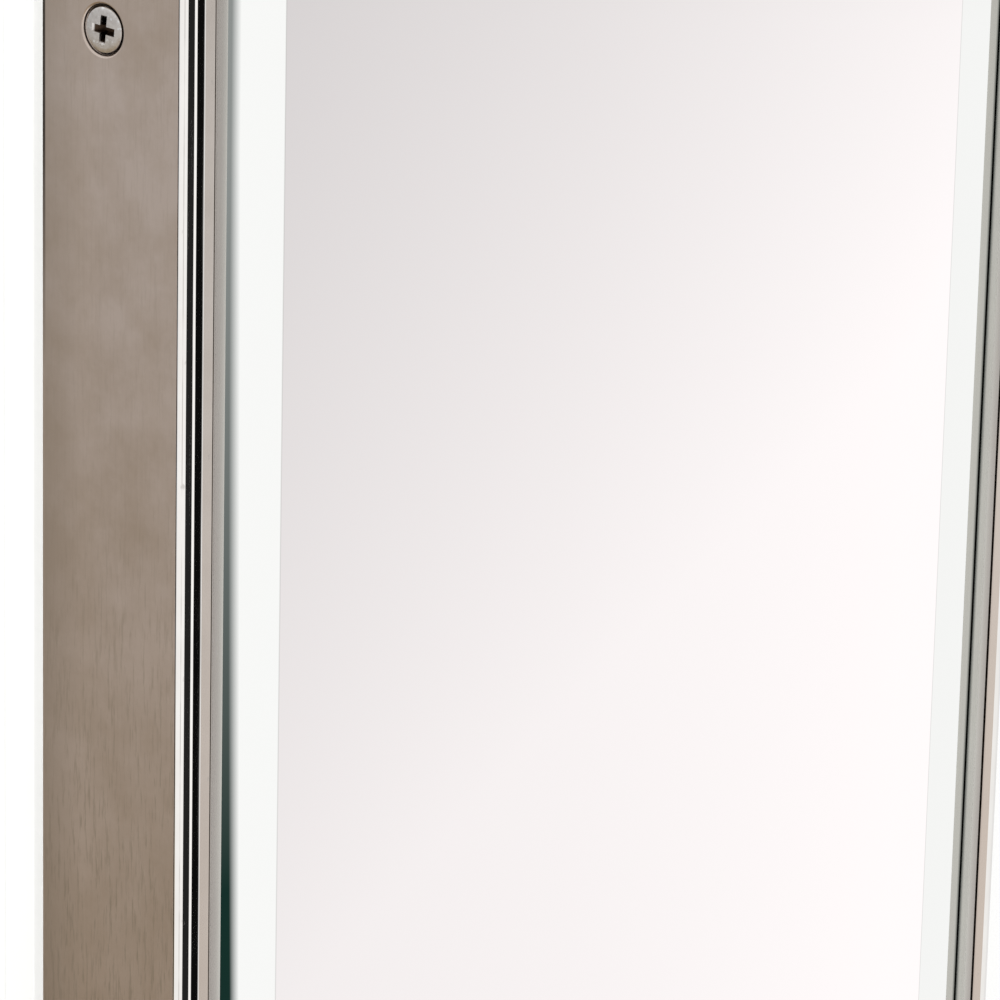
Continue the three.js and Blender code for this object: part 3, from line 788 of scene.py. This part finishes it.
def rivet(name, place, radius, height):
    """Domed rivet head at the door's back, with its pulled stem in the middle."""
    profile = [(0, height * 0.8), (radius * 0.3, height * 0.8), (radius * 0.36, height)]
    steps = 7
    for i in range(1, steps + 1):
        turn = math.pi / 2 * i / steps
        profile.append((radius * (0.4 + 0.6 * math.sin(turn)), height * math.cos(turn)))
    profile += [(radius, -0.05 * MM), (0, -0.05 * MM)]
    piece(name, aimed(lathe(profile, 32), place, (0, 1, 0)), "zinc", "door")


def make_screws():
    """Four side screws in the door, four in the hinge and four through the case into the studs."""
    turns = {"left_upper": -5.0, "left_lower": 38.0, "right_upper": 62.0, "right_lower": 21.0}
    for word, turn in turns.items():
        sign = -1 if word.startswith("left") else 1
        z = SCREW_Z if word.endswith("upper") else -SCREW_Z
        side_screw("side_screw_" + word, sign, z, turn)
    head = 1.6 * MM
    for i in range(1, 5):
        node = "hinge_screw_%d" % i
        low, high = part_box(node)
        place = ((low.x + high.x) / 2, low.y + head, (low.z + high.z) / 2)
        length = high.y - low.y - head
        pan_head(node + "_made", node, place, (0, -1, 0), 3.4 * MM, head, 1.9 * MM, length, "case")
    head = 2.4 * MM
    for side, sign in (("left", -1), ("right", 1)):
        for word in ("upper", "lower"):
            node = "stud_screw_%s_%s" % (side, word)
            low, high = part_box(node)
            inner = high.x if sign < 0 else low.x
            place = (inner + sign * head, (low.y + high.y) / 2, (low.z + high.z) / 2)
            length = high.x - low.x - head
            pan_head(node + "_made", node, place, (-sign, 0, 0), 4.2 * MM, head, 2.2 * MM, length, "case")


# ---------------------------------------------------------------- pressed sheets


def pressed_sheet(low, high, y, ribs, depth):
    """A surface in X and Z with panels pressed into it, each a rectangle (x0, z0, x1, z1)."""
    xs = sorted({low[0], high[0], *[v for r in ribs for v in (r[0], r[2])]})
    zs = sorted({low[1], high[1], *[v for r in ribs for v in (r[1], r[3])]})
    bm = bmesh.new()
    bmesh.ops.create_grid(bm, x_segments=1, y_segments=1, size=0.5)
    bmesh.ops.rotate(bm, matrix=Matrix.Rotation(math.pi / 2, 3, "X"), verts=bm.verts)
    for vert in bm.verts:
        vert.co.x = low[0] if vert.co.x < 0 else high[0]
        vert.co.z = low[1] if vert.co.z < 0 else high[1]
        vert.co.y = y
    for normal, cuts in ((Vector((1, 0, 0)), xs[1:-1]), (Vector((0, 0, 1)), zs[1:-1])):
        for at in cuts:
            geom = bm.verts[:] + bm.edges[:] + bm.faces[:]
            bmesh.ops.bisect_plane(bm, geom=geom, plane_co=normal * at, plane_no=normal)
    for x0, z0, x1, z1 in ribs:
        centres = [(face, face.calc_center_median()) for face in bm.faces]
        panel = [face for face, c in centres if x0 < c.x < x1 and z0 < c.z < z1]
        if len(panel) > 1:
            panel = bmesh.ops.dissolve_faces(bm, faces=panel)["region"]
        bmesh.ops.inset_region(bm, faces=panel, thickness=abs(depth) * 1.4, depth=0.0)
        moved = {vert for face in panel for vert in face.verts}
        bmesh.ops.translate(bm, vec=(0, depth, 0), verts=list(moved))
    bmesh.ops.recalc_face_normals(bm, faces=bm.faces)
    return bm


PAN_T = 1.0 * MM
PAN_RISE = 2.2 * MM  # of the pressed panel, towards the case


def make_pan():
    """The door's back: a tray with flanges towards the mirror and one long pressed panel."""
    low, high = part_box("door_pan")
    half_t = PAN_T / 2
    margin = 34 * MM
    panel = (low.x + margin, low.z + margin, high.x - margin, high.z - margin)
    near = (low.x + half_t, low.z + half_t)
    far = (high.x - half_t, high.z - half_t)
    bm = pressed_sheet(near, far, high.y - half_t, [panel], PAN_RISE)
    border = [edge for edge in bm.edges if edge.is_boundary]
    flange = bmesh.ops.extrude_edge_only(bm, edges=border)["geom"]
    for item in flange:
        if isinstance(item, bmesh.types.BMVert):
            item.co.y = low.y
    bmesh.ops.recalc_face_normals(bm, faces=bm.faces)
    made = piece("door_pan_made", bm, "white_steel", "door", ("door_pan",))
    bent_sheet(made, 1.3 * MM, 4, 30.0, PAN_T)


def make_case_back():
    """The back of the case, with three pressed panels that stiffen it."""
    low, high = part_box("case_back")
    edge = 38 * MM
    gap = 30 * MM
    panels = 3
    each = (high.z - low.z - 2 * edge - (panels - 1) * gap) / panels
    ribs = []
    for i in range(panels):
        z = low.z + edge + i * (each + gap)
        ribs.append((low.x + edge, z, high.x - edge, z + each))
    bm = pressed_sheet((low.x, low.z), (high.x, high.z), (low.y + high.y) / 2, ribs, -1.8 * MM)
    made = piece("case_back_made", bm, "white_steel", "case", ("case_back",))
    bent_sheet(made, 1.2 * MM, 3, 20.0, high.y - low.y)


# ---------------------------------------------------------------- the rest of the nodes


def make_inner_parts():
    """The nodes that keep their CAD shape: softened edges and a finish, or a finish alone."""
    for word in SIDES:
        refined("case_" + word, "white_steel", 0.3 * MM, 3)
    for word in ("lower", "middle", "upper"):
        refined("shelf_" + word, "shelf_glass", 0.9 * MM, 3)
        for side in ("left", "right"):
            refined("shelf_rest_%s_%s" % (word, side), "zinc", 0.25 * MM)
    for word in ("upper", "lower"):
        refined("catch_" + word, "white_plastic", 0.9 * MM, 3)
        refined("catch_magnet_" + word, "magnet", 0.3 * MM)
        refined("strike_" + word, "zinc", 0.3 * MM)
    for side in ("left", "right"):
        refined("side_bar_" + side, "zinc", 0.3 * MM)
        refined("mirror_channel_" + side, "zinc", 0.2 * MM)
    for word in ("top_left", "top_right", "bottom_left", "bottom_right"):
        refined("corner_plate_" + word, "zinc", 0.2 * MM)
    for node in ("hinge_leaf_case", "hinge_leaf_door", "hinge_pin"):
        refined(node, "zinc", 0.15 * MM)
    refined("mirror_backing", "backing_board", 0.2 * MM, 1)
    glass = frame["nodes"]["mirror_glass"].data
    glass.materials.clear()
    glass.materials.append(FINISH["mirror"])


COVER_HALF = 226.0 * MM  # half the length of a slot cover
# Half of a cover's section: (distance from its middle, height off the case), outside then inside
COVER_OUTSIDE = ((5.0, 3.0), (6.4, 0.8), (11.0, 0.8), (11.0, 0.0))
COVER_INSIDE = ((5.6, 0.0), (4.4, 2.2))


def cover_section():
    """A folded channel with a flange on each side."""
    left = [(-w, h) for w, h in COVER_OUTSIDE]
    inside = [*COVER_INSIDE, *[(-w, h) for w, h in reversed(COVER_INSIDE)]]
    return [*reversed(left), *COVER_OUTSIDE, *inside]


def make_slot_covers():
    """A folded strip welded over each row of slots on the outside of the case."""
    for side, sign in (("left", -1), ("right", 1)):
        rest_low, rest_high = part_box("shelf_rest_upper_" + side)
        for i, y in enumerate((rest_low.y + 9.0 * MM, rest_high.y - 9.0 * MM)):
            bm, far = drawn_out([(sign * (CASE_X + h * MM), y + w * MM) for w, h in cover_section()])
            for vert in bm.verts:
                vert.co.z = COVER_HALF if vert in far else -COVER_HALF
            bmesh.ops.recalc_face_normals(bm, faces=bm.faces)
            made = piece("slot_cover_%s_%d" % (side, i), bm, "white_steel", "case")
            soften(made, 0.35 * MM, 3)


def make_pan_rivets():
    """Two double columns of rivets that hold the mirror's channels to the pan."""
    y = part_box("door_pan")[1].y + PAN_RISE
    for i, x in enumerate((-90 * MM, 90 * MM)):
        for j in range(5):
            z = (j - 2) * 125 * MM
            for k, dx in enumerate((-20 * MM, 20 * MM)):
                rivet("pan_rivet_%d%d%d" % (i, j, k), (x + dx, y, z), 2.6 * MM, 1.0 * MM)


def make_catch_fixings():
    """Two rivets in each strike and two screws in each catch."""
    head = 1.3 * MM
    for word in ("upper", "lower"):
        low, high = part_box("strike_" + word)
        for k, dz in enumerate((-13 * MM, 13 * MM)):
            place = (high.x - 3 * MM, high.y, (low.z + high.z) / 2 + dz)
            rivet("strike_rivet_%s_%d" % (word, k), place, 1.8 * MM, 0.5 * MM)
        low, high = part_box("catch_" + word)
        for k, dz in enumerate((-15 * MM, 15 * MM)):
            name = "catch_screw_%s_%d" % (word, k)
            place = (high.x, high.y - 4.5 * MM, (low.z + high.z) / 2 + dz)
            pan_head(name, None, place, (1, 0, 0), 2.4 * MM, head, 1.2 * MM, 6.0 * MM, "case")


# ---------------------------------------------------------------- the room and the camera


def make_floor():
    """A wide pale floor just under the cabinet."""
    bm = bmesh.new()
    bmesh.ops.create_grid(bm, x_segments=1, y_segments=1, size=30.0)
    bmesh.ops.translate(bm, vec=(0, 0, cad_box[0][2] - 0.5 * MM), verts=bm.verts)
    mesh = bpy.data.meshes.new("floor")
    bm.to_mesh(mesh)
    bm.free()
    floor = bpy.data.objects.new("floor", mesh)
    bpy.context.scene.collection.objects.link(floor)
    f = Finish("pale_floor")
    tone = f.mix(f.noise(1.2, 3.0, 0.5), (0.88, 0.88, 0.875), (0.91, 0.91, 0.905))
    glow = {"Emission_Color": (1.0, 1.0, 1.0, 1.0), "Emission_Strength": 0.2}
    mesh.materials.append(f.surface(Base_Color=tone, Roughness=0.9, **glow))
    floor.visible_glossy = False


# What metal and mirror see below the horizon: a brightness at each heading, in degrees from +X
# towards +Y. Soft light, with two narrow dark bands that a polished round edge picks up.
SURROUND = (
    (-180.0, 0.72),
    (-150.0, 0.92),
    (-100.0, 0.95),
    (-83.6, 0.95),
    (-83.0, 0.02),
    (-78.0, 0.015),
    (-77.4, 1.0),
    (-64.2, 1.0),
    (-63.6, 0.004),
    (-59.4, 0.004),
    (-58.8, 0.98),
    (-46.0, 0.96),
    (-42.0, 0.60),
    (-36.0, 0.69),
    (-30.0, 0.84),
    (-22.0, 0.95),
    (10.0, 0.8),
    (60.0, 0.62),
    (120.0, 0.52),
    (180.0, 0.72),
)
CEILING = 0.82  # brightness above the horizon
DEGREES = 180.0 / math.pi


def surround(n, turn, fall):
    """Brightness below the horizon, at a heading and a fall below the horizon in degrees."""
    stops = [((heading + 180.0) / 360.0, shade) for heading, shade in SURROUND]
    bands = n.node("ShaderNodeValToRGB", {"stops": stops}, {0: (turn + 180.0) / 360.0})
    low = n.node("ShaderNodeRGBToBW", {}, {0: bands})
    slant = (turn + 42.0) / 9.0 + (fall - 12.0) / 9.5
    sheen = slant.step(0.0, 1.3) * 0.27 * turn.step(-43.5, -41.0) * (1.0 - turn.step(-30.0, -24.0))
    return (low + sheen).least(1.03) * (0.6 + fall.step(0.0, 12.0) * 0.4)


def make_world():
    """A pale studio. On the far side it dims and warms as it falls."""
    world = bpy.data.worlds.new("studio")
    world.use_nodes = True
    bpy.context.scene.world = world
    n = Nodes(world.node_tree)
    x, y, z = n.split(n.node("ShaderNodeTexCoord", out=0))
    turn = y.maths("ARCTAN2", y, x) * DEGREES
    fall = z.maths("ARCSINE", z) * -DEGREES
    beside = turn.step(60.0, 110.0)
    dim = 1.0 - (fall - 16.5).step(0.0, 4.5) * 0.45 * beside
    above = z.step(-0.02, 0.12)
    tone = surround(n, turn, fall) * dim * (1.0 - above) + CEILING * above
    cast = n.mix((fall - 17.5).step(0.0, 3.5), (1.0, 1.0, 1.0), (1.0, 0.78, 0.48))
    warm = n.mix(beside, (1.0, 0.995, 0.985), cast)
    seen = n.node("ShaderNodeLightPath")
    strength = tone * (1.0 - seen) + seen
    light = n.node("ShaderNodeBackground", {}, {"Color": warm, "Strength": strength})
    n.node("ShaderNodeOutputWorld", {}, {"Surface": light})


def soft_light(name, place, size, power):
    """A square light that faces the cabinet and isn't seen in metal or mirror."""
    data = bpy.data.lights.new(name, "AREA")
    data.shape = "RECTANGLE"
    data.size = size
    data.size_y = size
    data.energy = power
    light = bpy.data.objects.new(name, data)
    light.location = place
    light.rotation_euler = (-Vector(place)).to_track_quat("-Z", "Y").to_euler()
    light.visible_glossy = False
    bpy.context.scene.collection.objects.link(light)


CAMERA_PLACE = Vector((-1.26442, -0.96215, 0.47931))
CAMERA_HEADING = 37.265  # degrees from +X towards +Y
CAMERA_DIP = 16.644
CAMERA_ROLL = 1.277
LENS = 216.0


def make_camera():
    """A close view of the door's left side and mirror, from the left and above."""
    data = bpy.data.cameras.new("camera")
    data.lens = LENS
    data.sensor_width = 36.0
    data.clip_end = 100.0
    camera = bpy.data.objects.new("camera", data)
    heading = math.radians(CAMERA_HEADING)
    dip = math.radians(CAMERA_DIP)
    level = Vector((math.cos(heading), math.sin(heading), 0.0))
    forward = level * math.cos(dip) - Vector((0, 0, math.sin(dip)))
    right = Vector((math.sin(heading), -math.cos(heading), 0.0))
    up = right.cross(forward)
    roll = math.radians(CAMERA_ROLL)
    side = right * math.cos(roll) + up * math.sin(roll)
    top = up * math.cos(roll) - right * math.sin(roll)
    axes = Matrix((side, top, -forward)).transposed()
    camera.matrix_world = Matrix.Translation(CAMERA_PLACE) @ axes.to_4x4()
    bpy.context.scene.collection.objects.link(camera)
    bpy.context.scene.camera = camera


make_camera()
make_frame()
make_screws()
make_pan()
make_case_back()
make_inner_parts()
make_slot_covers()
make_pan_rivets()
make_catch_fixings()
make_floor()
make_world()
soft_light("key", (-2.4, -1.3, 1.5), 1.6, 60.0)
soft_light("fill", (1.8, -1.5, 1.0), 1.4, 3.0)
bpy.context.scene.view_settings.view_transform = "Standard"
bpy.context.scene.view_settings.look = "None"
